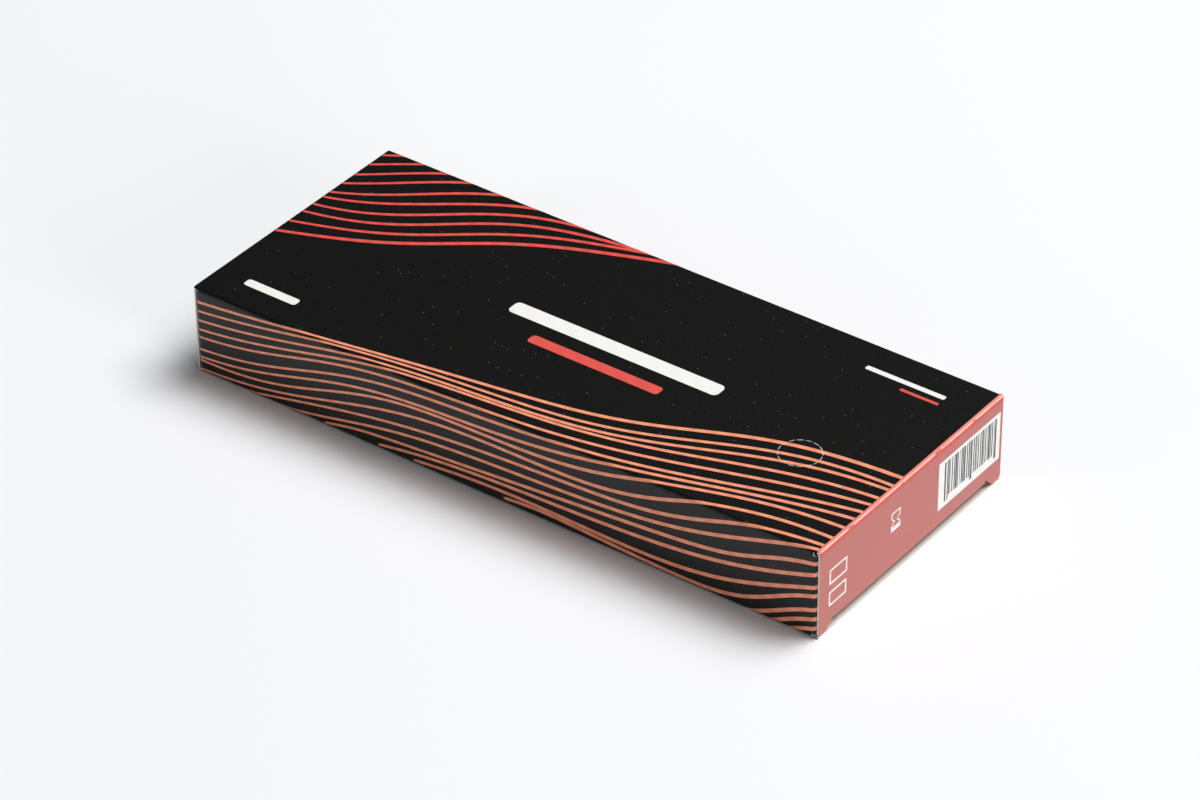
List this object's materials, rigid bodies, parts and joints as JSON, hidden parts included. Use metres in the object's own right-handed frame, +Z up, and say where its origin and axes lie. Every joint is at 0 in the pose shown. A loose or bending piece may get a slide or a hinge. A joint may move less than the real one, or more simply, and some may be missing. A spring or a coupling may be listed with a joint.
{
  "type": "tuck end carton",
  "caption": "Closed folding carton of a rapid test kit, with a tucked closure at each end, dust flaps behind them, a perforated circle in its top and the kit packed inside.",
  "frame": {"origin": "middle of the carton's underside", "axes": "+X along the carton towards the closure that hangs from the top panel, +Y from the front panel to the back panel, +Z up"},
  "size_m": [0.206, 0.0864, 0.0275],
  "materials": {
    "printed_board": "white folding board printed black, red and orange, with a matt varnish",
    "leaflet_paper": "thin white paper, folded",
    "foil_laminate": "creased foil laminate",
    "peel_paper": "satin peel pack paper",
    "tube_plastic": "translucent moulded polyethylene",
    "cap_plastic": "white moulded polyethylene"
  },
  "bodies": {
    "carton": {"sleeve": "printed_board", "leaflet": "leaflet_paper", "foil_pouch": "foil_laminate", "swab_pack": "peel_paper", "buffer_tube": "tube_plastic", "dropper_cap": "cap_plastic"},
    "right_end": {"right_closure": "printed_board"},
    "left_end": {"left_closure": "printed_board"}
  },
  "joints": [
    {"name": "right_closure_crease", "type": "hinge", "parent": "carton", "child": "right_end", "pos_m": [0.10255, 0, 0.02705], "axis": [0, -1, 0], "range_deg": [0, 135]},
    {"name": "left_closure_crease", "type": "hinge", "parent": "carton", "child": "left_end", "pos_m": [-0.10255, 0, 0.00045], "axis": [0, -1, 0], "range_deg": [0, 90]}
  ]
}
